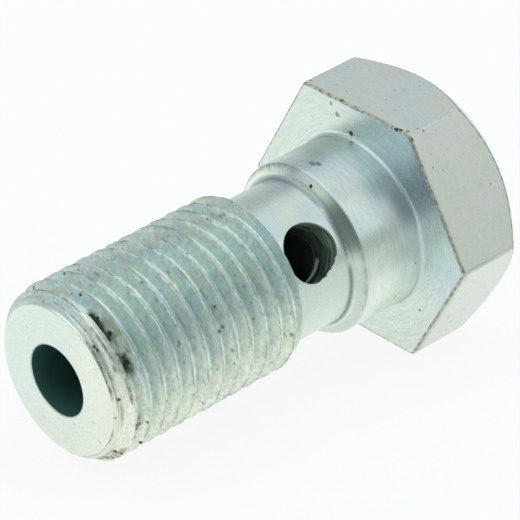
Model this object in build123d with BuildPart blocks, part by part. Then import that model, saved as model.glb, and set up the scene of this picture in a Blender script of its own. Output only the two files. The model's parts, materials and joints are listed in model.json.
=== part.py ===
"""A hollow banjo bolt: hexagon head, locating collar, drilled neck and threaded shank, all one turned piece.

The bolt lies on a flat surface, as it comes to rest: on the lower edge of one flat of its head and on the first
full crest of its thread. +X runs from the tip to the head, +Z is up, and the origin is the middle of its
footprint. The thread is kept as a plain cylinder over its crests.
"""

import os
from math import atan2, cos, degrees, radians, sin, tan

from build123d import *

# Driving sizes in millimetres, angles in degrees

# Shank, from the tip to the underside of the head
thread_diameter = 9.9  # over the crests of a metric fine thread, 10 x 1
thread_length = 13.0  # tip to the end of the run-out
lead_chamfer_depth = 0.8  # radial, so the flat tip is just inside the thread's root
lead_chamfer_length = 0.9
runout_length = 0.4  # cone from the last crest down to the neck
neck_length = 4.2  # run-out to the rim of the collar
neck_relief = 0.8  # the neck lies this far inside the crests
step_length = 0.5  # cone from the neck up to the collar
step_fillet = 0.3  # hollow corner at the foot of that cone
collar_length = 4.0
collar_relief = 0.05  # the collar lies this far inside the crests, so an eye passes over both
collar_edge_fillet = 0.1
seat_fillet = 0.15  # hollow corner between the collar and the seat

# Hexagon head
across_flats = 13.8
head_height = 5.0
head_chamfer_inset = 0.3  # the top face's edge lies this far inside the flats
head_chamfer_angle = 43.0  # from the plane of the top face

# Drilled passages
bore_diameter = 4.0
drill_point_angle = 118.0
bore_overrun = 0.3  # full bore past the cross hole
cross_hole_diameter = 3.2
cross_hole_turn = -36.0  # about the bolt's axis, from a corner of the hexagon

# Radii and stations along the axis that follow from them
thread_radius = thread_diameter / 2
tip_radius = thread_radius - lead_chamfer_depth
neck_radius = thread_radius - neck_relief
collar_radius = thread_radius - collar_relief
bore_radius = bore_diameter / 2
cross_hole_radius = cross_hole_diameter / 2
flat_radius = across_flats / 2
corner_radius = flat_radius / cos(radians(30))
top_radius = flat_radius - head_chamfer_inset

crest_end = thread_length - runout_length
collar_start = thread_length + neck_length
step_start = collar_start - step_length
seat = collar_start + collar_length
overall_length = seat + head_height
cross_hole_station = (crest_end + step_start) / 2
bore_depth = cross_hole_station + cross_hole_radius + bore_overrun
drill_point_length = bore_radius / tan(radians(drill_point_angle / 2))

# How the bolt lies: its axis climbs from the tip to the larger head
lie = atan2(flat_radius - thread_radius, seat - lead_chamfer_length)
footprint = overall_length * cos(lie) + (top_radius + tip_radius) * sin(lie)
tip_x = tip_radius * sin(lie) - footprint / 2
tip_z = flat_radius * cos(lie) - seat * sin(lie)

along = Vector(cos(lie), 0, sin(lie))
side = Vector(0, -1, 0)
tip_plane = Plane(origin=(tip_x, 0, tip_z), x_dir=side, z_dir=along)
section_plane = Plane(origin=(tip_x, 0, tip_z), x_dir=side, z_dir=side.cross(along))
bolt_axis = Axis((tip_x, 0, tip_z), along)

with BuildPart() as banjo_bolt:
    # Hexagon head, with the cone that cuts its corners to curved edges
    with BuildSketch(tip_plane.offset(seat)):
        RegularPolygon(radius=flat_radius, side_count=6, major_radius=False)
    extrude(amount=head_height)
    cone_radius = corner_radius + head_chamfer_inset
    cone_drop = (cone_radius - top_radius) * tan(radians(head_chamfer_angle))
    with BuildSketch(section_plane):
        with BuildLine():
            Polyline(
                (0, seat),
                (cone_radius, seat),
                (cone_radius, overall_length - cone_drop),
                (top_radius, overall_length),
                (0, overall_length),
                close=True,
            )
        make_face()
    revolve(axis=bolt_axis, mode=Mode.INTERSECT)

    # Shank: chamfered tip, thread, run-out, neck, step and collar, run a little into the head
    with BuildSketch(section_plane) as shank:
        with BuildLine():
            Polyline(
                (0, 0),
                (tip_radius, 0),
                (thread_radius, lead_chamfer_length),
                (thread_radius, crest_end),
                (neck_radius, thread_length),
                (neck_radius, step_start),
                (collar_radius, collar_start),
                (collar_radius, seat + seat_fillet),
                (0, seat + seat_fillet),
                close=True,
            )
        make_face()
        step_foot = shank.vertices().sort_by_distance((neck_radius, step_start))[0]
        fillet(step_foot, step_fillet)
        collar_rim = shank.vertices().sort_by_distance((collar_radius, collar_start))[0]
        fillet(collar_rim, collar_edge_fillet)
    revolve(axis=bolt_axis)
    seat_corner = section_plane.from_local_coords((collar_radius, seat))
    seat_edge = banjo_bolt.edges().filter_by(GeomType.CIRCLE).sort_by_distance(seat_corner)[0]
    fillet(seat_edge, seat_fillet)

    # Blind bore from the tip, with its drill point
    with BuildSketch(section_plane):
        with BuildLine():
            Polyline(
                (0, 0),
                (bore_radius, 0),
                (bore_radius, bore_depth),
                (0, bore_depth + drill_point_length),
                close=True,
            )
        make_face()
    revolve(axis=bolt_axis, mode=Mode.SUBTRACT)

    # Cross hole through both walls of the neck, into the bore
    hole_direction = side.rotate(bolt_axis, cross_hole_turn)
    hole_centre = bolt_axis.position + along * cross_hole_station
    with BuildSketch(Plane(origin=hole_centre, x_dir=along, z_dir=hole_direction)):
        Circle(cross_hole_radius)
    extrude(amount=thread_radius, both=True, mode=Mode.SUBTRACT)

banjo_bolt.part.label = "banjo_bolt"

os.makedirs("parts", exist_ok=True)
export_step(banjo_bolt.part, "parts/banjo_bolt.step")

print(f"lies at {degrees(lie):.3f} degrees, tip at x {tip_x:.4f}, z {tip_z:.4f}")
print(f"seat {seat:.3f}, overall {overall_length:.3f}, cross hole {cross_hole_station:.3f}, bore {bore_depth:.3f}")
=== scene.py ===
"""Looks of the banjo bolt: one closed skin in place of the solid, with its real thread, in zinc plating."""

import json
import math
from collections import namedtuple

import bmesh
import bpy
import numpy as np
from mathutils import Matrix, Vector


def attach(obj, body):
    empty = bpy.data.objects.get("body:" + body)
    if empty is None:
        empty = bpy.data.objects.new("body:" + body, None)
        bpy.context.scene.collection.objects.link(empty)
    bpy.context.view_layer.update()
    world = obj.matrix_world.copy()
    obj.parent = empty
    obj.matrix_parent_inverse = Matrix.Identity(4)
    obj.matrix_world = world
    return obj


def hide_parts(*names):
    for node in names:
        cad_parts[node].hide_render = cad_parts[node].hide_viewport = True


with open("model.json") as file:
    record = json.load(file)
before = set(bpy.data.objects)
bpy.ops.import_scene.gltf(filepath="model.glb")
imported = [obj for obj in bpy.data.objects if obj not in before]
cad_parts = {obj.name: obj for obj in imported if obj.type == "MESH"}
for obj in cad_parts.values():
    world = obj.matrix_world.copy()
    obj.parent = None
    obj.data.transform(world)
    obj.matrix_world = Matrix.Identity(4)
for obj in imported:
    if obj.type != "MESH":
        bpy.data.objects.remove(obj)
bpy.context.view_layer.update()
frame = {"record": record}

MM = 0.001
FULL_TURN = 2 * math.pi

# ==== Sizes, in the bolt's own millimetres ====

# A station is a distance from the tip along the axis. A turn is an angle about the axis, from -Y downwards.

mounts = {mount["name"]: mount for mount in frame["record"]["mounts"]}


def place(name):
    return np.array(mounts[name]["pos_m"]) / MM


ALONG = -np.array(mounts["axial_passage"]["axis"])
SIDE = np.array([0.0, -1.0, 0.0])
DOWN = np.cross(ALONG, SIDE)
BORE_DEPTH = mounts["axial_passage"]["dims"]["length_mm"]
TIP = place("axial_passage") - ALONG * BORE_DEPTH / 2


def station_of(name):
    return float((place(name) - TIP) @ ALONG)


# Shank
THREAD_RADIUS = mounts["thread"]["dims"]["r_mm"]
THREAD_SPAN = mounts["thread"]["dims"]["length_mm"]
LEAD_LENGTH = station_of("thread") - THREAD_SPAN / 2
LEAD_DEPTH = 0.8
RUNOUT_LENGTH = 0.4
NECK_RELIEF = 0.8
STEP_LENGTH = 0.5
COLLAR_LENGTH = 4.0
COLLAR_RADIUS = mounts["collar"]["dims"]["r_mm"]
SEAT_FILLET = 0.24
TIP_RADIUS = THREAD_RADIUS - LEAD_DEPTH
NECK_RADIUS = THREAD_RADIUS - NECK_RELIEF
CREST_END = LEAD_LENGTH + THREAD_SPAN
NECK_START = CREST_END + RUNOUT_LENGTH
CORNERS = (0, LEAD_LENGTH, CREST_END, NECK_START)  # stations of the shank's outline
SEAT = station_of("seat")
COLLAR_START = SEAT - COLLAR_LENGTH
STEP_START = COLLAR_START - STEP_LENGTH

# Thread
PITCH = 1.0
CREST_TURN = math.radians(34)  # where a crest stands at a whole number of pitches from the tip

# Head
ACROSS_FLATS = 13.8
HEAD_HEIGHT = 5.0
TOP_INSET = 0.3
TOP_ANGLE = math.radians(43)
FLAT_RADIUS = ACROSS_FLATS / 2
TOP_RADIUS = FLAT_RADIUS - TOP_INSET
TOP = SEAT + HEAD_HEIGHT

# Passages
BORE_RADIUS = mounts["axial_passage"]["dims"]["r_mm"]
DRILL_POINT_ANGLE = math.radians(118)
HOLE_RADIUS = mounts["cross_passage"]["dims"]["r_mm"]
HOLE_STATION = station_of("cross_passage")
HOLE_AXIS = np.array(mounts["cross_passage"]["axis"])
HOLE_TURN = math.atan2(HOLE_AXIS @ DOWN, HOLE_AXIS @ SIDE)
MOUTHS = (HOLE_TURN, HOLE_TURN + math.pi)

# ==== The skin: loops of points round the axis, joined into bands ====

COLUMNS = 240
TURNS = FULL_TURN * np.arange(COLUMNS) / COLUMNS
RIPPLE_WAVES = 24
# Of the marks, the third lays the passages' dark wall colour, which is painted shade, and the last places
# painted light and painted shade on the thread's flanks
MARKS = ("crest", "thread", "inside", "edge", "flat", "dirt", "flank")


class Skin:
    """A closed mesh in the making: points in millimetres, faces, and marks on every point."""

    def __init__(self):
        self.points = []
        self.marks = {name: [] for name in MARKS}
        self.faces = []

    def add(self, points, **marks):
        """Adds points, rows of x, y and station, and returns their numbers."""
        points = np.asarray(points, float).reshape(-1, 3)
        first = len(self.points)
        self.points.extend(points.tolist())
        for name in MARKS:
            self.marks[name].extend(np.broadcast_to(marks.get(name, 0.0), len(points)).tolist())
        return np.arange(first, first + len(points))

    def turned(self, section, **marks):
        """Adds a loop for each (radius, station) of a section, and returns the loops."""
        return [self.add(polar(radius, TURNS, station), **marks) for radius, station in section]

    def face(self, *corners):
        """Adds one face, without the corners that it repeats."""
        kept = list(dict.fromkeys(map(int, corners)))
        if len(kept) > 2:
            self.faces.append(kept)

    def bands(self, loops):
        """Joins each closed loop to the next, which has as many points."""
        for low, high in zip(loops, loops[1:]):
            for corners in zip(low, np.roll(low, -1), np.roll(high, -1), high):
                self.face(*corners)

    def fan(self, loop, centre, **marks):
        """Closes a loop with one point."""
        tip = self.add([centre], **marks)[0]
        for a, b in zip(loop, np.roll(loop, -1)):
            self.face(a, b, tip)


def polar(radius, turn, station):
    """Points at a radius, a turn and a station, as rows."""
    radius, turn, station = np.broadcast_arrays(radius, turn, station)
    return np.stack([radius * np.cos(turn), radius * np.sin(turn), station], axis=-1)


def curve(start, corner, end, steps):
    """Points of a rounded corner in a section, the two ends included."""
    t = np.linspace(0, 1, steps + 1)[:, None]
    start, corner, end = (np.array(point, float) for point in (start, corner, end))
    return (1 - t) ** 2 * start + 2 * t * (1 - t) * corner + t**2 * end


def ripple(turn, station, seed, longest, shortest):
    """A smooth random field round the shank, mostly -1 to 1, from waves of some lengths in millimetres."""
    rng = np.random.default_rng(seed)
    total = np.zeros(np.broadcast(turn, station).shape)
    for _ in range(RIPPLE_WAVES):
        length = math.exp(rng.uniform(math.log(shortest), math.log(longest)))
        slant = rng.uniform(0, math.pi)
        around = round(FULL_TURN * THREAD_RADIUS * math.cos(slant) / length)
        along = FULL_TURN * math.sin(slant) / length
        total += np.sin(around * turn + along * station + rng.uniform(0, FULL_TURN))
    return total / math.sqrt(RIPPLE_WAVES)


# Thread: its rows follow the helix

# (part of a pitch from the crest's middle, depth in mm) down half a thread
HALF_THREAD = ((0.0, 0.0), (0.025, 0.004), (0.055, 0.03), (0.09, 0.085), (0.18, 0.24),
               (0.28, 0.41), (0.36, 0.545), (0.41, 0.60), (0.5, 0.6134))
CREST_HALF_WIDTH = 0.07  # in parts of a pitch, as the next three are
SEAM_HALF_WIDTH = 0.035  # of the shallow seam that runs along some stretches of the crest
PAINTED_LIGHT_FLANK = 0.72  # from the crest to the middle of the thread's side with painted light; the other side has painted shade
HELIX_WOBBLE = 0.012
CREST_WEAR = 0.05
LEAST_WEAR = 0.008
SEAM_DEPTH = 0.03
DENT_DEPTH = 0.014
DENTS_START = 0.5
SOFT_EDGE = 0.04  # rounding where the thread meets the chamfers
JOIN_GAP = 0.012  # a row of the thread nearer than this to either end joins the loop there
LEAD_RINGS_START = 0.10
LEAD_RINGS_END = 0.96
LEAD_RING_STEP = 0.031
LEAD_RELIEF = 0.045
LEAD_RELIEF_FADE = 0.15
LEAD_WAVE = 0.31
LEAD_WAVE_START = 0.20
LEAD_WAVE_WOBBLE = 0.015
LEAD_LINE_WIDTH = 0.055
LEAD_LINE_WOBBLE = 0.02
ARC_FADE = math.radians(8)

# Dark lines on the lead chamfer: station, turns in degrees from and to, and darkness
LEAD_LINES = ((0.13, -54, -12, 2.2), (0.30, -46, -8, 1.3), (0.38, -95, -58, 1.0), (0.60, -58, -26, 1.3),
              (0.84, -56, -8, 2.2), (0.68, -128, -72, 1.3), (0.12, 15, 75, 1.2), (0.40, 18, 80, 1.2),
              (0.34, -8, 16, 1.5), (0.74, 44, 76, 2.0), (0.92, 34, 80, 2.2))

# Grime on the lead chamfer and in the roots: station, half width, turns in degrees from and to, and amount
ROOT_DIRT = ((1.22, 0.19, -73, -45, 1.25), (1.38, 0.19, -39, -20, 1.20), (1.42, 0.40, -66, -20, 0.6),
             (1.65, 0.10, 8, 38, 0.9), (1.30, 0.25, -8, 14, 0.4), (6.30, 0.35, -56, -41, 0.35),
             (0.42, 0.28, -64, -40, 0.55), (0.62, 0.22, -40, 0, 0.35))


def thread_rows():
    """Where the rows of one pitch lie, as parts of a pitch."""
    half = [away for away, _ in HALF_THREAD]
    return np.array(half + [1 - away for away in half[-2:0:-1]])


def soft_min(a, b, width):
    h = np.clip(0.5 + 0.5 * (b - a) / width, 0, 1)
    return b * (1 - h) + a * h - width * h * (1 - h)


def envelope(station):
    """Radius of the plain shank: the lead chamfer, the crests and the run-out cone."""
    return np.interp(station, CORNERS, [TIP_RADIUS, THREAD_RADIUS, THREAD_RADIUS, NECK_RADIUS])


def arc(turn, start, end):
    """1 between two turns given in degrees, with soft ends."""
    middle, half = math.radians((start + end) / 2), math.radians((end - start) / 2)
    away = np.abs((turn - middle + math.pi) % FULL_TURN - math.pi)
    return np.clip((half - away) / ARC_FADE + 0.5, 0, 1)


def lead_relief(turn, station):
    """The lathe's uneven waves on the lead chamfer, outwards."""
    fade = np.clip(0.9 + 0.35 * ripple(turn, 0 * station, seed=11, longest=9, shortest=2), 0.3, 1.2)
    wobble = LEAD_WAVE_WOBBLE * ripple(turn, 0 * station, seed=12, longest=12, shortest=2)
    wave = np.sin(FULL_TURN * (station - LEAD_WAVE_START + wobble) / LEAD_WAVE)
    end = np.clip((LEAD_LENGTH - station) / LEAD_RELIEF_FADE, 0, 1)
    return LEAD_RELIEF * fade * wave * end * (station > 0)


def lead_dark(turn, station):
    """How dark the turned-in lines of the lead chamfer are."""
    wobble = LEAD_LINE_WOBBLE * ripple(turn, 0 * station, seed=13, longest=12, shortest=1.5)
    lines = []
    for middle, start, end, dark in LEAD_LINES:
        away = (station - middle + wobble) / LEAD_LINE_WIDTH
        lines.append(dark * arc(turn, start, end) * np.exp(-(away**2)))
    return np.max(lines, axis=0)


def root_dirt(turn, station):
    """Where grime sits on the lead chamfer and in the roots."""
    patches = []
    for middle, half, start, end, amount in ROOT_DIRT:
        along = np.clip(1.6 - np.abs(station - middle) / half, 0, 1)
        patches.append(amount * arc(turn, start, end) * along)
    return np.max(patches, axis=0)


def thread_surface(turn, station):
    """Radius and marks at places on the threaded stretch."""
    wobble = HELIX_WOBBLE * ripple(turn, station, seed=5, longest=6, shortest=0.9)
    phase = station / PITCH - (turn - CREST_TURN) / FULL_TURN + wobble
    away = np.abs(phase - np.round(phase))
    depth = np.interp(away, *zip(*HALF_THREAD))
    crest = np.clip(1.5 - away / CREST_HALF_WIDTH, 0, 1)
    worn = CREST_WEAR * np.clip(ripple(turn, station, seed=3, longest=1.6, shortest=0.33), 0, 2)
    seam_run = np.clip(2 * ripple(turn, station, seed=7, longest=6, shortest=1.5) - 0.8, 0, 1)
    seam = SEAM_DEPTH * seam_run * np.clip(1 - away / SEAM_HALF_WIDTH, 0, 1)
    plain = envelope(station)
    cut = THREAD_RADIUS - np.maximum(depth, worn * crest + LEAST_WEAR) - seam
    dents = np.clip(ripple(turn, station, seed=17, longest=1.2, shortest=0.33), -2, 0.5)
    uneven = DENT_DEPTH * dents * (station > DENTS_START)
    radius = np.minimum(soft_min(plain, cut, SOFT_EDGE), plain) + lead_relief(turn, station) + uneven
    # The mark by phase across each pitch places painted light and painted shade on the flanks
    marks = {"crest": crest, "thread": np.clip(station / 0.3, 0, 1),
             "edge": lead_dark(turn, station), "dirt": root_dirt(turn, station),
             "flank": 0.5 + 0.5 * np.cos(FULL_TURN * (phase - PAINTED_LIGHT_FLANK))}
    return radius, marks


def slope_length(station):
    """Distance along the shank's outline from the tip's edge to a station."""
    lead = math.hypot(LEAD_DEPTH, LEAD_LENGTH)
    runout = math.hypot(NECK_RELIEF, RUNOUT_LENGTH)
    lengths = np.cumsum([0, lead, THREAD_SPAN, runout])
    return np.interp(station, CORNERS, lengths)


def slope_station(length):
    """The station at a distance along the shank's outline."""
    return np.interp(length, slope_length(CORNERS), CORNERS)


def add_lead(skin, low_loop):
    """Rings on the first part of the lead chamfer."""
    loops = [low_loop]
    stations = np.arange(LEAD_RINGS_START, LEAD_RINGS_END, LEAD_RING_STEP)
    for station in stations:
        radius, marks = thread_surface(TURNS, np.full(COLUMNS, station))
        loops.append(skin.add(polar(radius, TURNS, station), **marks | {"crest": 0.0}))
    skin.bands(loops)
    return loops[-1], stations[-1]


def add_thread(skin, low_loop, low_station, high_loop):
    """The threaded stretch between two loops. Each row is a pitch further on after a turn."""
    rows = thread_rows()
    low, high = slope_length(low_station), slope_length(NECK_START)
    zero = slope_length(LEAD_LENGTH) - LEAD_LENGTH - CREST_TURN / FULL_TURN * PITCH
    first, last = math.floor((low - zero) / PITCH) - 2, math.ceil((high - zero) / PITCH) + 1
    starts = np.concatenate([zero + (rows + pitches) * PITCH for pitches in range(first, last)])
    length = starts[:, None] + PITCH * TURNS / FULL_TURN
    number = np.where(length < (low + high) / 2, low_loop, high_loop)
    free = (length > low + JOIN_GAP) & (length < high - JOIN_GAP)
    turn = np.broadcast_to(TURNS, length.shape)[free]
    station = slope_station(length[free])
    radius, marks = thread_surface(turn, station)
    number[free] = skin.add(polar(radius, turn, station), **marks)
    for row in range(len(starts) - len(rows) - 1):
        after = row + len(rows)
        for i in range(COLUMNS - 1):
            skin.face(number[row, i], number[row, i + 1], number[row + 1, i + 1], number[row + 1, i])
        skin.face(number[row, -1], number[after, 0], number[after + 1, 0], number[row + 1, -1])


# Passages: a tube's wall is a grid with a window at each mouth of the cross hole

WINDOW_HALF_WIDTH = {"neck": 28, "bore": 38}  # in columns
WINDOW_ROWS = {"neck": 40, "bore": 20}
WINDOW_REACH = 1.8  # the bore's window, each way from the hole's centre
MOUTH_ROUND = 0.06
BURR = 0.13
BURR_FROM, BURR_TO = math.radians(-5), math.radians(62)
ROUNDING_PARTS = (0.3, 0.65, 1.0)  # of the mouth's rounding, where loops lie
BURR_FADE = ((0.05, 0.6), (0.09, 0.25), (0.15, 0.0))  # parts of the way in, and the burr's share there
WALL_PARTS = (0.3, 0.5, 0.76, 0.77, 0.90, 0.94)  # of the way in, where more loops lie
LIP_BAND = (0.765, 0.92)  # between these parts of the way in, the wall has a painted highlight on its lip
LIP_SPAN = (-8, 66)  # where the painted highlight on the lip ends each way, in degrees about the hole's centre


def window_angles():
    """The angle about the hole's centre of each point round the neck's window, from its corner."""
    width, height = 2 * WINDOW_HALF_WIDTH["neck"], WINDOW_ROWS["neck"]
    across = np.linspace(-1, 1, width + 1)[:-1]
    up = np.linspace(-1, 1, height + 1)[:-1]
    x = np.concatenate([across, np.ones(height), -across, -np.ones(height)])
    y = np.concatenate([-np.ones(width), up, np.ones(width), -up])
    return np.unwrap(np.arctan2(y, x))


def add_windowed_tube(skin, radius, stations, low_loop, high_loop, half_width, inside):
    """A tube's wall between two loops, with both windows. Returns the loop round each window."""
    between = skin.turned([(radius, station) for station in stations[1:-1]], inside=inside)
    grid = np.array([low_loop, *between, high_loop])
    loops = []
    hidden = set()
    for mouth in MOUTHS:
        middle = round(mouth / FULL_TURN * COLUMNS)
        across = [(middle + step) % COLUMNS for step in range(-half_width, half_width + 1)]
        hidden.update(across[:-1])
        loops.append(np.concatenate([grid[0, across[:-1]], grid[:-1, across[-1]],
                                     grid[-1, across[:0:-1]], grid[:0:-1, across[0]]]))
    for low, high in zip(grid, grid[1:]):
        for i in set(range(COLUMNS)) - hidden:
            after = (i + 1) % COLUMNS
            skin.face(low[i], low[after], high[after], high[i])
    return loops


def fill_window(skin, loop, tube_radius, mouth, hole_radius, angle, steps, **marks):
    """Loops on a tube's wall from a window to the hole's edge, which is the loop returned."""
    points = np.array([skin.points[number] for number in loop])
    turn = np.arctan2(points[:, 1], points[:, 0]) - mouth
    x = tube_radius * (turn - FULL_TURN * np.round(turn / FULL_TURN))
    y = points[:, 2] - HOLE_STATION
    edge_x = tube_radius * np.arcsin(hole_radius * np.cos(angle) / tube_radius)
    edge_y = hole_radius * np.sin(angle)
    bearing, edge_bearing = np.arctan2(y, x), np.arctan2(edge_y, edge_x)
    swing = edge_bearing - bearing
    swing -= FULL_TURN * np.round(swing / FULL_TURN)
    loops = [loop]
    for step in steps:
        away = np.hypot(x, y) * (1 - step) + np.hypot(edge_x, edge_y) * step
        toward = bearing + step * swing
        turn_there = mouth + away * np.cos(toward) / tube_radius
        station_there = HOLE_STATION + away * np.sin(toward)
        loops.append(skin.add(polar(tube_radius, turn_there, station_there), **marks))
    skin.bands(loops)
    return loops[-1]


def burr(angle, mouth):
    """How far the burr leans into the hole, round the mouth that has one."""
    if mouth != MOUTHS[0]:
        return np.zeros_like(angle)
    spread = (angle - BURR_FROM + math.pi) % FULL_TURN - math.pi
    span = BURR_TO - BURR_FROM
    hump = np.clip(np.sin(math.pi * np.clip(spread / span, 0, 1)), 0, 1) ** 0.6
    ragged = 0.75 + 0.35 * np.sin(17 * angle + 0.6) * np.sin(5 * angle) + 0.1 * np.sin(41 * angle)
    return BURR * hump * ragged


def mouth_rounding(lean):
    """How far the mouth's edge is rounded: less where the burr leans in."""
    return np.interp(lean, (0, 0.4 * BURR), (MOUTH_ROUND, MOUTH_ROUND / 4))


def add_hole_wall(skin, mouth, outer, inner, angle):
    """The cross hole's wall, from its mouth on the neck to its mouth on the bore."""
    out = np.array([math.cos(mouth), math.sin(mouth)])
    round_shank = np.array([-math.sin(mouth), math.cos(mouth)])
    lean = burr(angle, mouth)
    rounding = mouth_rounding(lean)

    def loop(radius, reach, **marks):
        across, up = radius * np.cos(angle), radius * np.sin(angle)
        flat = reach[:, None] * out + across[:, None] * round_shank
        return skin.add(np.column_stack([flat, HOLE_STATION + up]), **marks)

    high = np.sqrt(NECK_RADIUS**2 - (HOLE_RADIUS * np.cos(angle)) ** 2)
    low = np.sqrt(BORE_RADIUS**2 - (HOLE_RADIUS * np.cos(angle)) ** 2)
    loops = [outer]
    for part in ROUNDING_PARTS:
        radius = HOLE_RADIUS + rounding * (1 - part) ** 2 - lean
        # The rounded mouth takes some of the dark wall colour as painted shade, all of it on the burr
        loops.append(loop(radius, high - rounding * part, inside=np.where(lean > 0, 1.0, 0.35 * part)))
    for part, share in BURR_FADE:
        loops.append(loop(HOLE_RADIUS - lean * share, high + part * (low - high), inside=1.0))
    lip = arc(angle, *LIP_SPAN) * (mouth == MOUTHS[0])
    for part in WALL_PARTS:
        # The crest mark carries the painted highlight on the hole's lip
        bright = lip * (LIP_BAND[0] < part < LIP_BAND[1])
        loops.append(loop(HOLE_RADIUS, high + part * (low - high), inside=1.0, crest=bright))
    loops.append(inner)
    skin.bands(loops)


# Tip, shank, collar and head

EDGE_BREAK = 0.05
FACE_ROUND = 0.18  # from the tip's flat face to the foot of the lead chamfer
FACE_ROUND_STATION = 0.07
SHOULDER = (4.47, 16.86)  # radius and station of the faint line across the step
SHOULDER_ROUND = 0.05
COLLAR_BREAK = 0.08
FOOT_FILLET = 0.28


def add_tip(skin):
    """The flat face, from the bore's mouth to the foot of the lead chamfer."""
    slope = LEAD_DEPTH / LEAD_LENGTH
    mouth = curve((BORE_RADIUS, EDGE_BREAK), (BORE_RADIUS, 0), (BORE_RADIUS + EDGE_BREAK, 0), 3)
    face = [(radius, 0) for radius in (BORE_RADIUS + 2 * EDGE_BREAK, 2.6, 3.2, 3.8)]
    foot = (TIP_RADIUS + FACE_ROUND_STATION * slope, FACE_ROUND_STATION)
    rim = curve((TIP_RADIUS - FACE_ROUND, 0), (TIP_RADIUS, 0), foot, 4)
    # The bore's mouth takes the dark wall colour: painted shade at the hollow's edge
    loops = skin.turned(mouth[:1], inside=1.0)
    loops += skin.turned(mouth[1:], inside=0.4)
    loops += skin.turned(np.concatenate([face, rim]))
    skin.bands(loops)
    return loops[0], loops[-1]


def add_bore(skin, mouth_loop):
    """The blind bore, with its windows and its drilled end."""
    low_end, high_end = HOLE_STATION - WINDOW_REACH, HOLE_STATION + WINDOW_REACH
    low = skin.turned([(BORE_RADIUS, z) for z in np.linspace(EDGE_BREAK, low_end, 12)[1:]], inside=1.0)
    skin.bands([mouth_loop] + low)
    point_length = BORE_RADIUS / math.tan(DRILL_POINT_ANGLE / 2)
    halfway = (BORE_RADIUS / 2, BORE_DEPTH + point_length / 2)
    end = skin.turned([(BORE_RADIUS, high_end), (BORE_RADIUS, BORE_DEPTH), halfway], inside=1.0)
    skin.bands(end)
    skin.fan(end[-1], (0, 0, BORE_DEPTH + point_length), inside=1.0)
    stations = np.linspace(low_end, high_end, WINDOW_ROWS["bore"] + 1)
    return add_windowed_tube(skin, BORE_RADIUS, stations, low[-1], end[0], WINDOW_HALF_WIDTH["bore"], 1.0)


def step_section():
    """(radius, station) points over the foot fillet and the step, from the neck to the collar."""
    foot, shoulder = np.array([NECK_RADIUS, STEP_START]), np.array(SHOULDER)
    rim = np.array([COLLAR_RADIUS, COLLAR_START])
    up, out = (shoulder - foot), (rim - shoulder)
    up, out = up / np.linalg.norm(up), out / np.linalg.norm(out)
    fillet = curve(foot - [0, FOOT_FILLET], foot, foot + up * FOOT_FILLET, 6)
    bend = curve(shoulder - up * SHOULDER_ROUND, shoulder, shoulder + out * SHOULDER_ROUND, 3)
    edge = curve(rim - out * COLLAR_BREAK, rim, rim + [0, COLLAR_BREAK], 5)
    return np.concatenate([fillet, bend, edge])


def add_neck(skin, low_loop):
    """The plain neck with its two windows, and its end loop."""
    section = step_section()
    high_loop = skin.turned(section[:1])[0]
    stations = np.linspace(NECK_START, section[0][1], WINDOW_ROWS["neck"] + 1)
    half_width = WINDOW_HALF_WIDTH["neck"]
    windows = add_windowed_tube(skin, NECK_RADIUS, stations, low_loop, high_loop, half_width, 0.0)
    return windows, high_loop


def add_cross_hole(skin, neck_windows, bore_windows):
    """Both halves of the cross hole, each from the neck's window to the bore's."""
    angle = window_angles()
    neck_steps = (0.3, 0.6, 0.85, 0.97, 1.0)
    bore_steps = (0.5, 0.97, 1.0)
    for mouth, neck_window, bore_window in zip(MOUTHS, neck_windows, bore_windows):
        lean = burr(angle, mouth)
        mouth_radius = HOLE_RADIUS + mouth_rounding(lean) - lean
        outer = fill_window(skin, neck_window, NECK_RADIUS, mouth, mouth_radius, angle, neck_steps)
        inner = fill_window(skin, bore_window, BORE_RADIUS, mouth, HOLE_RADIUS, angle, bore_steps,
                            inside=1.0)
        add_hole_wall(skin, mouth, outer, inner, angle)


def step_marks():
    """How much painted shade each loop after the neck's last takes, as the passages' dark wall colour, and
    how much worn edge line, up to the collar's edge.
    """
    # Painted shade in the foot fillet's crease and in a band on the step's face
    foot = 0.46 * arc(TURNS, -142, -62) + 0.60 * arc(TURNS, -14, 60)
    face = 0.28 * arc(TURNS, -64, -20) + 0.30 * arc(TURNS, -56, -25)
    # The rim's edge line: worn edge all round, with painted shade added from -58 to 20 degrees
    rim = 0.35 + 0.5 * arc(TURNS, -150, -92) + 0.2 * arc(TURNS, -58, 20)
    on_fillet = [0.5 * foot, *[np.maximum(foot, 0.3 * face)] * 2, np.maximum(0.5 * foot, 0.6 * face)]
    dull_and_shaded = [*on_fillet, *[face] * 7, *[0.0] * 5]
    worn = [*[0.0] * 10, *[rim] * 3, *[0.0] * 3]
    return zip(dull_and_shaded, worn)


def add_collar(skin, low_loop):
    """The step, the collar and the fillet to the seat."""
    loops = [low_loop]
    for corner, (dull_and_shaded, worn) in zip(step_section()[1:], step_marks(), strict=True):
        # The dark wall colour laid on the step here is painted shade
        loops += skin.turned([corner], inside=dull_and_shaded, edge=worn)
    stations = np.linspace(COLLAR_START + 2 * COLLAR_BREAK, SEAT - SEAT_FILLET - EDGE_BREAK, 12)
    loops += skin.turned([(COLLAR_RADIUS, station) for station in stations])
    low_end, high_end = (COLLAR_RADIUS, SEAT - SEAT_FILLET), (COLLAR_RADIUS + SEAT_FILLET, SEAT)
    loops += skin.turned(curve(low_end, (COLLAR_RADIUS, SEAT), high_end, 6))
    skin.bands(loops)
    return loops[-1]


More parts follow.
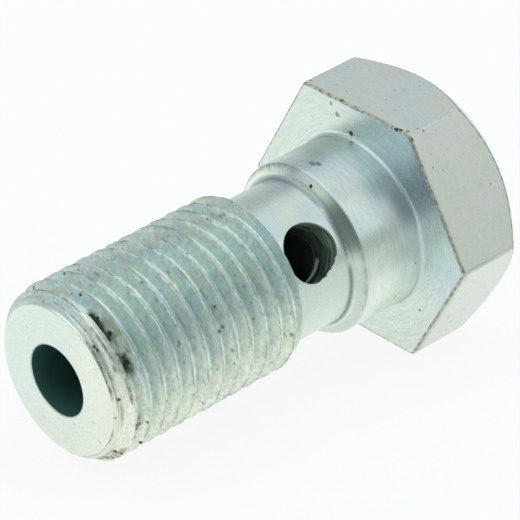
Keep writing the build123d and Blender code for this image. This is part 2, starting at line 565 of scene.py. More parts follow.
CORNER_STEPS = 4  # columns on each side of a corner that lie on its rounding
CORNER_ROUND = 0.26
SECTORS = 6
CORNER_WEAR_AND_SHADE = 0.42  # how much of the dark edge line the corners between flats show: worn edge, and painted shade that dims their highlight
SEAT_EDGE_ROUND = 0.10
TOP_EDGE_ROUND = 0.10
SEAT_PARTS = (0.02, 0.15, 0.3, 0.45, 0.6, 0.75, 0.88, 0.96, 1.0)  # of the way out, where loops lie
ROUND_PARTS = (0.25, 0.5, 0.75, 1.0)  # of a rounded edge
FLAT_PARTS = (0.02, 0.04, 0.12, 0.25, 0.45, 0.65, 0.85, 0.96, 1.0)  # of the way up
CHAMFER_WEAR_AND_SHADE = ((0.1, 0.8), (0.35, 0.3), (0.65, 0.0), (0.9, 0.0), (0.98, 0.0))  # part in, edge mark: worn edge, and painted shade over the chamfer's reflection
TOP_RADII = (TOP_RADIUS - 0.04, TOP_RADIUS - 0.15, 5.0, 3.5, 2.0, 0.6)


def hexagon(apothem):
    """A hexagon with rounded corners, one of them at turn 0: a point for each column."""
    half_sector = math.pi / SECTORS
    flat_columns = COLUMNS // SECTORS - 2 * CORNER_STEPS
    inset = apothem - CORNER_ROUND
    # One side, towards +x: a rounding, the flat and the next rounding
    bend = half_sector * np.arange(CORNER_STEPS) / CORNER_STEPS
    across = inset * math.tan(half_sector) * np.sin(np.linspace(-math.pi / 2, math.pi / 2, flat_columns + 1))
    first = np.column_stack([np.cos(bend - half_sector), np.sin(bend - half_sector)]) * CORNER_ROUND
    first += (inset, -inset * math.tan(half_sector))
    flat = np.column_stack([np.full_like(across, apothem), across])
    last = (first * (1, -1))[:0:-1]
    side = np.concatenate([first, flat, last])
    outline = []
    for sector in range(SECTORS):
        turn = (2 * sector + 1) * half_sector
        outward = np.array([[math.cos(turn), math.sin(turn)], [-math.sin(turn), math.cos(turn)]])
        outline.append(side @ outward)
    return np.concatenate(outline)


def add_head(skin, low_loop):
    """The seat, the flats, the top's chamfer and the top."""
    inner = np.column_stack([np.cos(TURNS), np.sin(TURNS)]) * (COLLAR_RADIUS + SEAT_FILLET)
    outer = hexagon(FLAT_RADIUS - SEAT_EDGE_ROUND)
    loops = [low_loop]

    def loop(outline, station, **marks):
        station = np.broadcast_to(station, COLUMNS)
        loops.append(skin.add(np.column_stack([outline, station]), **marks))

    for part in SEAT_PARTS:
        loop(inner + part * (outer - inner), SEAT, edge=0.7 * (part == 1.0))
    for part in ROUND_PARTS:
        bend = part * math.pi / 2
        outline = hexagon(FLAT_RADIUS - SEAT_EDGE_ROUND * (1 - math.sin(bend)))
        loop(outline, SEAT + SEAT_EDGE_ROUND * (1 - math.cos(bend)), edge=1.0, flat=part)
    outline = hexagon(FLAT_RADIUS)
    column = np.arange(COLUMNS) % (COLUMNS // SECTORS)
    # The corners' edge line: worn edge, and painted shade that dims their highlight
    corner = CORNER_WEAR_AND_SHADE * (np.minimum(column, COLUMNS // SECTORS - column) <= CORNER_STEPS)
    away = np.hypot(*outline.T)
    bearing = outline / away[:, None]
    corner_station = TOP - (away - TOP_RADIUS) * math.tan(TOP_ANGLE)
    low, high = SEAT + SEAT_EDGE_ROUND, corner_station - TOP_EDGE_ROUND
    for part in FLAT_PARTS:
        loop(outline, low + part * (high - low), edge=np.maximum(0.55 - 8 * part, corner), flat=1.0)
    cone_radius = away - TOP_EDGE_ROUND * math.cos(TOP_ANGLE)
    cone_station = corner_station + TOP_EDGE_ROUND * math.sin(TOP_ANGLE)
    # The top edge's rounding and the chamfer take the dark edge line: worn edge, and painted shade over the
    # sky's reflection
    for t in ROUND_PARTS:
        radius = away * (1 - t * t) + cone_radius * t * t
        station = high * (1 - t) ** 2 + corner_station * 2 * t * (1 - t) + cone_station * t * t
        loop(bearing * radius[:, None], station, edge=0.9, flat=1.0)
    for part, edge in CHAMFER_WEAR_AND_SHADE:
        radius = cone_radius + part * (TOP_RADIUS - cone_radius)
        loop(bearing * radius[:, None], TOP - (radius - TOP_RADIUS) * math.tan(TOP_ANGLE), edge=edge)
    for radius in TOP_RADII:
        loop(bearing * radius, TOP)
    skin.bands(loops)
    skin.fan(loops[-1], (0, 0, TOP))


def bolt_skin():
    """The whole bolt's skin, from the tip to the top of the head."""
    skin = Skin()
    mouth_loop, face_loop = add_tip(skin)
    lead_loop, lead_station = add_lead(skin, face_loop)
    neck_loop = skin.turned([(NECK_RADIUS, NECK_START)], thread=0.5)[0]
    add_thread(skin, lead_loop, lead_station, neck_loop)
    neck_windows, step_loop = add_neck(skin, neck_loop)
    bore_windows = add_bore(skin, mouth_loop)
    add_cross_hole(skin, neck_windows, bore_windows)
    add_head(skin, add_collar(skin, step_loop))
    return skin


def new_object(name, data):
    thing = bpy.data.objects.new(name, data)
    bpy.context.scene.collection.objects.link(thing)
    return thing


def skin_object(skin, name):
    """The skin as an object in the row's frame, in metres, with its marks and its own millimetres kept."""
    points = np.array(skin.points)
    mesh = bpy.data.meshes.new(name)
    mesh.from_pydata(((TIP + points @ np.array([SIDE, DOWN, ALONG])) * MM).tolist(), [], skin.faces)
    for mark, values in skin.marks.items():
        mesh.attributes.new(mark, "FLOAT", "POINT").data.foreach_set("value", np.array(values, np.float32))
    own = mesh.attributes.new("bolt_mm", "FLOAT_VECTOR", "POINT")
    own.data.foreach_set("vector", points.astype(np.float32).ravel())
    tidy = bmesh.new()
    tidy.from_mesh(mesh)
    unused = [vertex for vertex in tidy.verts if not vertex.link_faces]
    bmesh.ops.delete(tidy, geom=unused, context="VERTS")
    bmesh.ops.recalc_face_normals(tidy, faces=tidy.faces)
    tidy.to_mesh(mesh)
    tidy.free()
    mesh.shade_smooth()
    return new_object(name, mesh)


# ==== Materials ====


class Graph:
    """The nodes of a material or a world, made by short calls that return sockets."""

    def __init__(self, owner):
        self.owner = owner
        owner.use_nodes = True
        self.tree = owner.node_tree
        self.tree.nodes.clear()

    def node(self, kind, inputs=None, **settings):
        node = self.tree.nodes.new(kind)
        for name, value in settings.items():
            setattr(node, name, value)
        for socket, value in (inputs or {}).items():
            if isinstance(value, bpy.types.NodeSocket):
                self.tree.links.new(value, node.inputs[socket])
            else:
                node.inputs[socket].default_value = value
        return node

    def math(self, operation, total, *others):
        """One value from two or more, taken in one after the other."""
        for other in others:
            total = self.node("ShaderNodeMath", {0: total, 1: other}, operation=operation).outputs[0]
        return total

    def times(self, *values):
        return self.math("MULTIPLY", *values)

    def plus(self, *values):
        return self.math("ADD", *values)

    def vector(self, operation, *values, output="Vector"):
        node = self.node("ShaderNodeVectorMath", dict(enumerate(values)), operation=operation)
        return node.outputs[output]

    def measure(self, operation, *values):
        """A number made from vectors, such as the distance between two."""
        return self.vector(operation, *values, output="Value")

    def squeezed(self, own, times):
        """The place that makes a pattern this many times shorter along the bolt."""
        return self.vector("MULTIPLY", own, (1.0, 1.0, times))

    def span(self, value, low, high, to_low=0.0, to_high=1.0):
        """The value's way from low to high, smoothed and held at the ends."""
        inputs = {"Value": value, "From Min": low, "From Max": high, "To Min": to_low, "To Max": to_high}
        return self.node("ShaderNodeMapRange", inputs, interpolation_type="SMOOTHSTEP").outputs["Result"]

    def band(self, value, start, full, ebb, end):
        """1 from full to ebb, and 0 before start and after end."""
        return self.times(self.span(value, start, full), self.span(value, end, ebb))

    def mark(self, name, output="Fac"):
        return self.node("ShaderNodeAttribute", attribute_name=name).outputs[output]

    def joined(self, x, y, z=0.0):
        return self.node("ShaderNodeCombineXYZ", {0: x, 1: y, 2: z}).outputs[0]

    def noise(self, vector, scale, detail=3.0, roughness=0.5, distortion=0.0):
        inputs = {"Vector": vector, "Scale": scale, "Detail": detail, "Roughness": roughness,
                  "Distortion": distortion}
        return self.node("ShaderNodeTexNoise", inputs).outputs["Fac"]

    def clouds(self, vector, scale, low, high, amount=1.0, **noise):
        """Soft patches, which begin where a noise is at low and are full where it is at high."""
        return self.span(self.noise(vector, scale, **noise), low, high, 0.0, amount)

    def mix(self, amount, first, second):
        node = self.node("ShaderNodeMix", {"Factor": amount}, data_type="RGBA")
        sockets = [socket for socket in node.inputs if socket.type == "RGBA"]
        for socket, colour in zip(sockets, (first, second)):
            if isinstance(colour, bpy.types.NodeSocket):
                self.tree.links.new(colour, socket)
            else:
                socket.default_value = (*colour, 1.0)
        return [socket for socket in node.outputs if socket.type == "RGBA"][0]

    def layers(self, colour, *layers):
        """A colour with others laid over it in turn: each layer is an amount and a colour."""
        for amount, other in layers:
            colour = self.mix(amount, colour, other)
        return colour


# A place on the bolt in its own millimetres, whole and in its three parts
Spot = namedtuple("Spot", "own side down along")

HOLE_WAY = tuple(polar(1.0, HOLE_TURN, 0.0))
PAINTED_REFLECTION_WAY = tuple(polar(1.0, math.radians(-32), 0.0))  # where the collar's painted highlight and the seat's painted blue reflection are strongest

# The plating's colours, linear, with colours of painted light and shade among them
ZINC = (0.54, 0.63, 0.58)
# Painted floor light: the plating paler from the middle of the side and lower down
ZINC_PAINTED_MIDDLE_LIGHT = (0.595, 0.69, 0.605)
ZINC_PAINTED_LOW_LIGHT = (0.79, 0.905, 0.815)
BLUE_TINT = (0.50, 0.60, 0.60)
PINK_TINT = (0.56, 0.59, 0.575)
CREAM_TINT = (0.57, 0.635, 0.55)
TURNED_FACE = (0.785, 0.90, 0.805)
FACE_BLUE = (0.78, 0.885, 0.825)
FACE_BEIGE = (0.80, 0.875, 0.775)
SEAT_FACE = (0.745, 0.855, 0.77)
# Painted reflection: the seat darker and bluer on one side
SEAT_PAINTED_REFLECTION = (0.67, 0.785, 0.81)
# Painted reflection: a darker teal-blue on the seat's fillet
FILLET_PAINTED_REFLECTION = (0.60, 0.70, 0.69)
# Painted highlight on the collar by the seat, then painted floor light on its lower side
COLLAR_PAINTED_HIGHLIGHT = (0.72, 0.775, 0.75)
COLLAR_PAINTED_FLOOR_LIGHT = (0.95, 1.0, 0.92)
# Painted highlight and painted shade on the step's two sides
STEP_PAINTED_HIGHLIGHT = (0.88, 0.97, 0.85)
STEP_PAINTED_SHADE = (0.59, 0.70, 0.60)
LEAD_CREAM = (0.88, 0.93, 0.80)
THREAD_TEAL = (0.585, 0.72, 0.655)
THREAD_BLUE = (0.55, 0.69, 0.705)
THREAD_PINK = (0.66, 0.665, 0.64)
THREAD_CREAM = (0.67, 0.72, 0.60)
# Painted floor light on the thread's lower side
THREAD_PAINTED_FLOOR_LIGHT = (0.88, 0.925, 0.77)
# Painted shade on one of each thread's flanks and painted light on the other
FLANK_PAINTED_SHADE = (0.51, 0.67, 0.68)
FLANK_PAINTED_LIGHT = (0.92, 0.99, 0.86)
# Tones of the worn crests by place: painted shade at the top, a painted highlight below it, painted shade
# lower down
CREST_PAINTED_HIGHLIGHT = (0.76, 0.80, 0.77)
CREST_PAINTED_SHADE = (0.34, 0.42, 0.40)
CREST_LOW_PAINTED_SHADE = (0.50, 0.61, 0.58)
FLAT_BEIGE = (0.65, 0.665, 0.61)
FLAT_BLUE = (0.60, 0.675, 0.66)
FLAT_GREEN = (0.61, 0.675, 0.585)
# Painted floor light on the lower flats
FLAT_PAINTED_FLOOR_LIGHT = (0.80, 0.86, 0.80)
FLAT_CREAM = (0.67, 0.675, 0.56)
FLECK = (0.22, 0.30, 0.27)
STAIN = (0.30, 0.28, 0.22)
# Painted shade: the passages' walls dark, and darker deeper in
WALL_PAINTED_SHADE = (0.05, 0.15, 0.13)
DEEP_PAINTED_SHADE = (0.012, 0.035, 0.03)
# Tool marks on the cross hole's wall, with painted light that grows towards the neck
TOOL_MARK_AND_LIGHT = (0.42, 0.60, 0.47)
# Painted highlight on the cross hole's lip
LIP_PAINTED_HIGHLIGHT = (0.80, 0.95, 0.82)
GRIME = (0.03, 0.045, 0.035)
EDGE_OLIVE = (0.20, 0.215, 0.155)

# Specks of grime: turn in degrees, radius, station and size across in millimetres, and darkness
SPECKS = (
    # tip
    (-132, 3.12, 0, 0.24, 0.14), (114, 3.14, 0, 0.28, 0.18), (62, 2.4, 0, 0.24, 0.18),
    (25, 2.94, 0, 0.2, 0.22), (36, 3.84, 0, 0.26, 0.22), (-35, 3.82, 0, 0.24, 0.12),
    # lead chamfer
    (-49, 4.34, 0.28, 0.3, 1), (-46, 4.35, 0.33, 0.26, 1), (-24, 4.23, 0.11, 0.16, 0.6),
    (-9, 4.38, 0.45, 0.26, 0.9), (-1, 4.31, 0.38, 0.2, 0.5), (2, 4.3, 0.28, 0.2, 0.6),
    (4, 4.29, 0.17, 0.2, 0.6), (-122, 4.46, 0.41, 0.2, 0.5), (-130, 4.74, 1.34, 0.24, 0.9),
    (43, 4.6, 0.75, 0.3, 1), (47, 4.6, 0.78, 0.2, 0.8), (41, 4.85, 0.88, 0.3, 0.8),
    (37, 4.7, 0.95, 0.25, 0.7),
    # first roots of the thread
    (-68, 4.35, 1.22, 0.34, 1), (-65, 4.49, 1.34, 0.36, 1), (-52, 4.45, 1.4, 0.38, 0.95),
    (-28, 4.5, 1.42, 0.34, 0.8), (-25, 4.59, 1.38, 0.3, 0.8), (-30, 4.5, 1.49, 0.42, 0.9),
    (-88, 4.8, 1.47, 0.16, 0.8), (-84, 4.79, 1.48, 0.28, 1), (35, 4.92, 1.93, 0.3, 1),
    (14, 4.91, 1.83, 0.26, 0.8),
    # thread
    (-113, 4.86, 2.44, 0.24, 0.9), (-111, 4.87, 8.46, 0.2, 0.5), (-90, 4.9, 10.54, 0.24, 0.6),
    (-77, 4.36, 8.24, 0.2, 0.5), (-48, 4.89, 4.67, 0.2, 0.5), (-34, 4.75, 7.28, 0.3, 0.6),
    (-35, 4.6, 7.5, 0.3, 0.7), (-37, 4.75, 7.85, 0.22, 0.45), (-21, 4.59, 7.54, 0.3, 0.7),
    (-18, 4.39, 7.42, 0.3, 0.7), (50, 4.92, 6.96, 0.2, 0.5), (46, 4.86, 7.88, 0.2, 0.5),
    (-88, 4.8, 9.65, 0.3, 0.5), (-26, 4.7, 4.65, 0.3, 0.5), (-12, 4.7, 4.6, 0.26, 0.5),
    (-4, 4.7, 7.75, 0.3, 0.5), (8, 4.8, 11.8, 0.3, 0.6), (-8, 4.8, 11.8, 0.26, 0.5),
    (-60, 4.7, 12.4, 0.26, 0.6), (-72, 4.7, 12.4, 0.26, 0.6), (15, 4.8, 3.55, 0.3, 0.5),
    (-15, 4.8, 10.9, 0.26, 0.5), (-70, 4.8, 4.6, 0.24, 0.5), (-34, 4.8, 7.1, 0.3, 0.5),
    # step, collar and seat
    (-77, 4.55, 16.92, 0.26, 1), (-90, 4.9, 18.04, 0.56, 0.6), (-87, 4.9, 18.23, 0.5, 0.6),
    (27, 4.9, 19.65, 0.3, 0.4), (-94, 5.22, 21.2, 0.36, 0.9), (4, 4.9, 20.67, 0.2, 0.5),
    (-106, 6.7, 21.2, 0.26, 0.6), (-103, 6.12, 21.2, 0.34, 0.6), (39, 5.92, 21.2, 0.22, 0.6),
    # flats
    (-42, 7.06, 22.48, 0.14, 0.7), (-45, 7.13, 21.92, 0.14, 0.7), (-27, 6.91, 25.06, 0.16, 0.6),
    (-59, 7.88, 22.2, 0.2, 0.6), (-66, 7.56, 21.24, 0.36, 1), (-64.5, 7.66, 21.32, 0.28, 1),
    (-62, 7.8, 21.48, 0.26, 0.8), (-58, 7.86, 21.34, 0.3, 0.8), (-61, 7.9, 22, 0.24, 0.5),
    (-119, 7.88, 21.6, 0.2, 0.6), (-99, 6.98, 21.31, 0.3, 0.7), (-91, 6.9, 21.33, 0.2, 0.6),
)
SPECK_SQUEEZE = 1.5
SPECK_RAGGED = 0.06  # how far a speck's edge strays from round, in millimetres


def specks(graph, own):
    """How much grime lies at a place: ragged specks, longer round the bolt than along it."""
    ragged = graph.node("ShaderNodeTexNoise", {"Vector": own, "Scale": 5.0, "Detail": 3.0}).outputs["Color"]
    shift = graph.vector("MULTIPLY_ADD", ragged, (2 * SPECK_RAGGED,) * 3, (-SPECK_RAGGED,) * 3)
    moved = graph.squeezed(graph.vector("ADD", own, shift), SPECK_SQUEEZE)
    total = 0.0
    for turn, radius, station, across, darkness in SPECKS:
        centre = tuple(polar(radius, math.radians(turn), SPECK_SQUEEZE * station))
        away = graph.measure("DISTANCE", moved, centre)
        total = graph.math("MAXIMUM", total, graph.span(away, across * 0.6, across * 0.25, 0.0, darkness))
    return total


def turning_marks(graph, spot):
    """Fine lines left by the lathe: rings on the faces, hoops on the cylinders."""
    radius = graph.measure("LENGTH", graph.joined(spot.side, spot.down))
    across = graph.times(graph.plus(spot.along, radius), 8.0)
    return graph.noise(graph.joined(spot.side, spot.down, across), 1.0, roughness=0.6)


def plain_colour(graph, spot):
    """Plating with faint clouds of blue, pink and cream, and painted floor light that makes it paler lower
    down the bolt's side.
    """
    return graph.layers(
        ZINC,
        (graph.clouds(spot.own, 0.35, 0.40, 0.62, detail=1.0), BLUE_TINT),
        (graph.clouds(spot.own, 0.6, 0.50, 0.75, 0.8, distortion=0.4), PINK_TINT),
        (graph.clouds(spot.own, 0.45, 0.52, 0.72, 0.8), CREAM_TINT),
        # Painted floor light, paler from the middle of the side downwards
        (graph.span(spot.down, -3.2, -1.6), ZINC_PAINTED_MIDDLE_LIGHT),
        (graph.span(spot.down, -1.0, 2.5), ZINC_PAINTED_LOW_LIGHT),
    )


def thread_colour(graph, spot, crest, flank):
    """Teal flanks with streaks of blue, pink and cream along the turns, painted light on one of the flanks
    and painted shade on the other, painted floor light lower down, and worn crests toned by painted
    highlight and painted shade.
    """
    streaks = graph.squeezed(spot.own, 3.0)
    broken = graph.span(graph.noise(streaks, 0.6), 0.42, 0.58, 0.35, 1.0)
    banded = graph.times(graph.span(spot.down, -3.2, -1.2), broken)
    fading = graph.span(spot.down, 0.5, 3.0, 1.0, 0.35)
    # The worn crests' tone by place: painted shade at the top, a painted highlight below it, painted shade
    # lower down
    crest_light_and_shade = graph.layers(
        CREST_PAINTED_SHADE,
        (graph.span(spot.down, -4.5, -3.4), CREST_PAINTED_HIGHLIGHT),
        (graph.span(spot.down, -2.8, -1.2), CREST_LOW_PAINTED_SHADE),
    )
    return graph.layers(
        THREAD_TEAL,
        (graph.clouds(streaks, 0.7, 0.50, 0.64), THREAD_BLUE),
        (graph.clouds(streaks, 1.1, 0.54, 0.70), THREAD_PINK),
        (graph.clouds(streaks, 0.9, 0.54, 0.70, detail=4.0), THREAD_CREAM),
        # Painted floor light, paler lower down
        (graph.span(spot.down, -2.5, 2.5, 0.0, 0.75), THREAD_PAINTED_FLOOR_LIGHT),
        # Painted shade and painted light on the two flanks
        (graph.times(banded, graph.span(flank, 0.48, 0.15, 0.0, 0.80), fading), FLANK_PAINTED_SHADE),
        (graph.times(banded, graph.span(flank, 0.50, 0.80, 0.0, 0.60)), FLANK_PAINTED_LIGHT),
        (graph.times(crest, graph.clouds(spot.own, 1.1, 0.47, 0.58, detail=4.0)), crest_light_and_shade),
        (graph.clouds(streaks, 2.0, 0.64, 0.72, 0.6), FLECK),
    )


def collar_layers(graph, spot, seat):
    """The collar's tints: a painted highlight on one side by the seat, and painted floor light all along
    lower down.
    """
    painted_reflection_side = graph.span(graph.measure("DOT_PRODUCT", spot.own, PAINTED_REFLECTION_WAY), 4.45, 4.9)
    by_seat = graph.times(graph.span(spot.along, SEAT - 2.0, SEAT - 1.2), graph.math("SUBTRACT", 1.0, seat))
    on_collar = graph.band(spot.along, COLLAR_START, COLLAR_START + 0.2, SEAT - 0.8, SEAT - 0.5)
    lower = graph.span(spot.down, -1.0, 1.0, 0.0, 0.5)
    # A painted highlight by the seat, and painted floor light lower down
    return (graph.times(painted_reflection_side, by_seat), COLLAR_PAINTED_HIGHLIGHT), (graph.times(lower, on_collar), COLLAR_PAINTED_FLOOR_LIGHT)


def step_layers(graph, spot):
    """The step's tints: a pale painted highlight on one side and darker green painted shade on the other."""
    full, ebb, end = STEP_START + 0.16, STEP_START + 0.3, COLLAR_START + 0.05
    on_step = graph.band(spot.along, STEP_START + 0.10, full, ebb, end)
    # A painted highlight on one side, painted shade on the other
    pale = graph.times(on_step, graph.span(spot.side, -0.3, -1.6))
    lower = graph.span(spot.down, -1.0, 1.0, 1.0, 0.6)
    return (pale, STEP_PAINTED_HIGHLIGHT), (graph.times(on_step, graph.span(spot.side, 0.3, 1.5), lower), STEP_PAINTED_SHADE)


def turned_colour(graph, spot, seat, colour):
    """The turned faces' tints: tip, seat, collar, step, the seat's fillet and the lead chamfer, with painted
    reflection on the seat and on its fillet.
    """
    tip = graph.layers(
        TURNED_FACE,
        (graph.clouds(spot.own, 0.40, 0.44, 0.60, detail=2.0), FACE_BLUE),
        (graph.span(spot.down, 1.6, 4.0), FACE_BEIGE),
    )
    painted_reflection_side = graph.span(graph.measure("DOT_PRODUCT", spot.own, PAINTED_REFLECTION_WAY), 1.5, 5.5)
    low, full, ebb, high = SEAT - SEAT_FILLET, SEAT - 0.7 * SEAT_FILLET, SEAT - 0.03, SEAT - 0.005
    on_lead = graph.span(spot.along, 1.25, 0.95, 0.0, 0.8)
    return graph.layers(
        colour,
        (graph.span(spot.along, 0.3, 0.0), tip),
        (seat, SEAT_FACE),
        *collar_layers(graph, spot, seat),
        *step_layers(graph, spot),
        # Painted reflection on the seat, darker and bluer on one side
        (graph.times(seat, painted_reflection_side), SEAT_PAINTED_REFLECTION),
        # Painted reflection on the seat's fillet
        (graph.band(spot.along, low, full, ebb, high), FILLET_PAINTED_REFLECTION),
        (graph.times(graph.span(spot.side, 0.5, 3.0), on_lead), LEAD_CREAM),
    )


def flat_colour(graph, spot):
    """The drawn flats: mottled beige and blue, creamy by the seat's edge, with fine dark flecks, and painted
    floor light on their lower parts.
    """
    cool = graph.mix(graph.span(spot.down, -FLAT_RADIUS + 0.05, -FLAT_RADIUS + 0.9), FLAT_BLUE, FLAT_GREEN)
    return graph.layers(
        FLAT_BEIGE,
        (graph.clouds(spot.own, 0.40, 0.36, 0.62, detail=2.0), cool),
        # Painted floor light on the lower flats
        (graph.span(spot.down, 0.0, 0.3), FLAT_PAINTED_FLOOR_LIGHT),
        (graph.span(spot.along, SEAT + 0.75, SEAT + 0.2, 0.0, 0.7), FLAT_CREAM),
        (graph.clouds(spot.own, 3.0, 0.68, 0.76, 0.6, detail=2.0), FLECK),
    )


def wall_colour(graph, spot, lip):
    """The passages' walls: painted shade, darker deeper in; tool marks round the cross hole, painted lighter
    towards the neck; an olive mouth; and a painted highlight on the hole's lip.
    """
    deep = graph.measure("DOT_PRODUCT", spot.own, HOLE_WAY)
    drilled = graph.joined(graph.times(deep, 3.5), spot.side, spot.along)
    marks = graph.span(graph.noise(drilled, 1.0, detail=4.0), 0.40, 0.60, 0.2, 1.0)
    in_hole = graph.span(spot.along, STEP_START, STEP_START - 0.3)
    mouth = graph.span(deep, NECK_RADIUS - 0.5, NECK_RADIUS - 0.2, 0.0, 0.4)
    # Painted shade, darker deeper in, under tool marks and the lip's painted highlight
    return graph.layers(
        WALL_PAINTED_SHADE,
        (graph.span(spot.along, 2.0, 9.0), DEEP_PAINTED_SHADE),
        # Tool marks, with painted light that grows towards the neck
        (graph.times(marks, in_hole, graph.span(deep, BORE_RADIUS, NECK_RADIUS)), TOOL_MARK_AND_LIGHT),
        (graph.times(in_hole, mouth), EDGE_OLIVE),
        # The lip's painted highlight
        (lip, LIP_PAINTED_HIGHLIGHT),
    )


def brightness(graph, spot, seat, thread, flat, turned, fine, pitted):
    """How bright a place is beside its neighbours: lathe lines, pits in the thread and a fine grain."""
    on_collar = graph.span(spot.along, COLLAR_START, COLLAR_START + 0.2, 0.5, 1.4)
    collar = graph.times(on_collar, graph.math("SUBTRACT", 1.0, seat))
    strength = graph.math("SUBTRACT", graph.plus(graph.times(seat, 1.5), collar), flat)
    lathe = graph.times(strength, graph.span(turned, 0.35, 0.65, -0.04, 0.04))
    grain = graph.span(fine, 0.25, 0.75, -0.04, 0.04)
    pits = graph.times(thread, graph.span(pitted, 0.35, 0.65, -0.10, 0.10))
    return graph.plus(1.0, grain, lathe, pits)


def soiling(graph, own, dirt):
    """How much a place is stained, and how much grime covers it."""
    smear = graph.noise(graph.squeezed(own, 3.0), 1.6, detail=4.0, roughness=0.6)
    stain = graph.times(graph.span(dirt, 0.1, 1.0, 0.0, 0.8), graph.span(smear, 0.40, 0.58))
    blots = graph.span(graph.plus(dirt, smear), 1.12, 1.78, 0.0, 0.97)
    return stain, graph.math("MAXIMUM", specks(graph, own), blots)


def zinc_plating():
    graph = Graph(bpy.data.materials.new("zinc_plating"))
    own = graph.mark("bolt_mm", "Vector")
    spot = Spot(own, *graph.node("ShaderNodeSeparateXYZ", {0: own}).outputs)
    crest, thread, inside, edge, flat, dirt, flank = (graph.mark(name) for name in MARKS)
    seat = graph.span(spot.along, SEAT - 0.06, SEAT - 0.01)
    turned = turning_marks(graph, spot)
    fine = graph.noise(own, 7.0)
    pitted = graph.times(thread, graph.noise(graph.squeezed(own, 2.2), 3.4, detail=4.0, roughness=0.65))

    colour = graph.mix(thread, plain_colour(graph, spot), thread_colour(graph, spot, crest, flank))
    colour = turned_colour(graph, spot, seat, colour)
    colour = graph.mix(flat, colour, flat_colour(graph, spot))
    value = brightness(graph, spot, seat, thread, flat, turned, fine, pitted)
    colour = graph.node("ShaderNodeHueSaturation", {"Color": colour, "Value": value}).outputs[0]
    # Edge marks bring worn olive lines, and on the corners between flats and the top chamfer also painted
    # shade
    nicks = graph.span(graph.noise(own, 3.2, detail=4.0, roughness=0.65), 0.40, 0.62, 0.35, 1.0)
    line = graph.times(graph.span(edge, 0.1, 1.0, 0.0, 0.85), nicks)
    stain, grime = soiling(graph, own, dirt)
    # The wall colour is painted shade; here the crest mark brings the lip's painted highlight
    wall = wall_colour(graph, spot, crest)
    colour = graph.layers(colour, (inside, wall), (line, EDGE_OLIVE), (stain, STAIN), (grime, GRIME))

    satin = graph.math("SUBTRACT", graph.span(spot.along, SEAT - 3.0, SEAT - 1.0), seat)
    roughness = graph.span(fine, 0.3, 0.7, 0.25, 0.33)
    for mark, more in ((satin, 0.08), (flat, 0.10), (thread, 0.14), (crest, 0.14)):
        roughness = graph.plus(roughness, graph.times(mark, more))
    dull_and_shaded = graph.times(graph.math("MAXIMUM", grime, inside), 0.6)
    roughness = graph.math("MAXIMUM", roughness, dull_and_shaded)
    bare = graph.math("MAXIMUM", graph.times(inside, 0.7), graph.times(line, 0.8))
    relief = graph.times(turned, graph.math("SUBTRACT", 1.0, flat))
    relief = graph.plus(relief, graph.times(pitted, 7.0))
    bump = graph.node("ShaderNodeBump", {"Height": relief, "Strength": 0.15, "Distance": 0.00002})
    inputs = {"Base Color": colour, "Metallic": graph.math("SUBTRACT", 1.0, bare), "Roughness": roughness,
              "Normal": bump.outputs[0]}
    shader = graph.node("ShaderNodeBsdfPrincipled", inputs)
    graph.node("ShaderNodeOutputMaterial", {"Surface": shader.outputs[0]})
    return graph.owner


# ==== Stage ====

CAMERA_AZIMUTH = -43.98
CAMERA_ELEVATION = 29.06
CAMERA_ROLL = -2.236
CAMERA_DISTANCE = 210.69
CAMERA_LENS = 278.25
CAMERA_AIM = (0.774, 0.0, 6.913)

# Lamps: name, direction from the bolt, width in metres and power in watts
LAMPS = (
    ("key", (0.58, -0.55, 0.60), 0.4, 0.30),
    ("fill", (-0.63, 0.23, 0.74), 0.6, 0.40),
    ("top", (0.30, 0.22, 0.93), 0.6, 0.15),
    ("overhead", (0.0, 0.1, 1.0), 0.8, 0.90),
)
LAMP_DISTANCE = 0.6  # in metres

SKY = (0.57, 0.61, 0.635)
# Regions of the sky: direction of the middle, degrees to where it is full and to where it ends, colour
SKY_REGIONS = (
    ((-0.66, -0.70, 0.15), 6, 55, (0.15, 0.20, 0.235)),
    ((0.72, 0.68, 0.05), 4, 32, (0.80, 0.82, 0.80)),
)

FLOOR_WIDTH = 4  # in metres
FLOOR_OWN_LIGHT = {"camera": 0.88, "mirrored": 0.8}  # share of the floor's white that no shadow dims


def add_camera():
    azimuth, elevation = math.radians(CAMERA_AZIMUTH), math.radians(CAMERA_ELEVATION)
    flat = math.cos(elevation)
    back = Vector((math.sin(azimuth) * flat, -math.cos(azimuth) * flat, math.sin(elevation)))
    data = bpy.data.cameras.new("camera")
    data.lens = CAMERA_LENS
    data.sensor_width = 36
    data.clip_start, data.clip_end = 0.01, 10
    camera = new_object("camera", data)
    turn = (-back).to_track_quat("-Z", "Y").to_matrix() @ Matrix.Rotation(math.radians(-CAMERA_ROLL), 3, "Z")
    spot = Vector(CAMERA_AIM) * MM + back * CAMERA_DISTANCE * MM
    camera.matrix_world = Matrix.Translation(spot) @ turn.to_4x4()
    bpy.context.scene.camera = camera


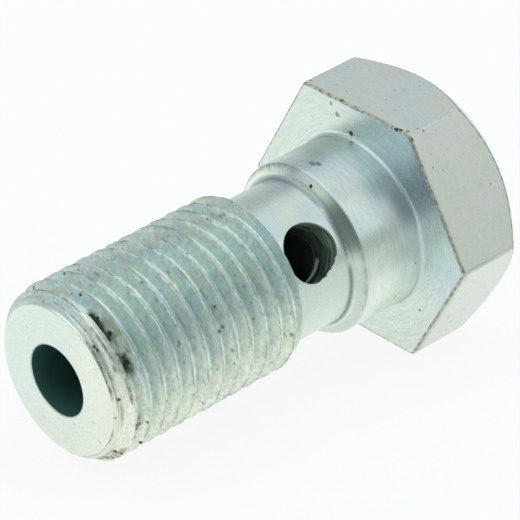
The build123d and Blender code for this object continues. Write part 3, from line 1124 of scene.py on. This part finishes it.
def add_lamp(name, toward, width, power):
    """A square soft light that faces the bolt from a direction."""
    data = bpy.data.lights.new(name, "AREA")
    data.shape = "SQUARE"
    data.size = width
    data.energy = power
    lamp = new_object(name, data)
    toward = Vector(toward).normalized()
    lamp.location = toward * LAMP_DISTANCE
    lamp.rotation_euler = (-toward).to_track_quat("-Z", "Y").to_euler()


def add_floor():
    """A white table that keeps the bolt's shadow, and looks white to the camera and in reflections."""
    bpy.ops.mesh.primitive_plane_add(size=FLOOR_WIDTH)
    floor = bpy.context.object
    floor.name = "floor"
    graph = Graph(bpy.data.materials.new("white_table"))
    rays = graph.node("ShaderNodeLightPath").outputs
    mirrored = graph.math("MAXIMUM", rays["Is Glossy Ray"], rays["Is Transmission Ray"])
    matt = graph.node("ShaderNodeBsdfDiffuse", {"Color": (0.9, 0.9, 0.9, 1.0)})
    white = graph.node("ShaderNodeEmission", {"Color": (1.0, 1.0, 1.0, 1.0), "Strength": 1.0})
    share = graph.math("MAXIMUM", graph.times(rays["Is Camera Ray"], FLOOR_OWN_LIGHT["camera"]),
                       graph.times(mirrored, FLOOR_OWN_LIGHT["mirrored"]))
    mixed = graph.node("ShaderNodeMixShader", {0: share, 1: matt.outputs[0], 2: white.outputs[0]})
    graph.node("ShaderNodeOutputMaterial", {"Surface": mixed.outputs[0]})
    floor.data.materials.append(graph.owner)


def add_world():
    """An even sky with a broad darker region and a smaller bright one opposite, both low."""
    graph = Graph(bpy.data.worlds.new("studio"))
    way = graph.vector("NORMALIZE", graph.node("ShaderNodeTexCoord").outputs["Generated"])
    colour = SKY
    for toward, inner, outer, other in SKY_REGIONS:
        near = graph.measure("DOT_PRODUCT", way, tuple(Vector(toward).normalized()))
        share = graph.span(near, math.cos(math.radians(outer)), math.cos(math.radians(inner)))
        colour = graph.mix(share, colour, other)
    background = graph.node("ShaderNodeBackground", {"Color": colour})
    graph.node("ShaderNodeOutputWorld", {"Surface": background.outputs[0]})
    bpy.context.scene.world = graph.owner


def main():
    bolt = skin_object(bolt_skin(), "plated_banjo_bolt")
    bolt.data.materials.append(zinc_plating())
    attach(bolt, "root")
    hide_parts("banjo_bolt")
    add_camera()
    add_floor()
    add_world()
    for lamp in LAMPS:
        add_lamp(*lamp)
    bpy.context.scene.view_settings.view_transform = "Standard"


main()
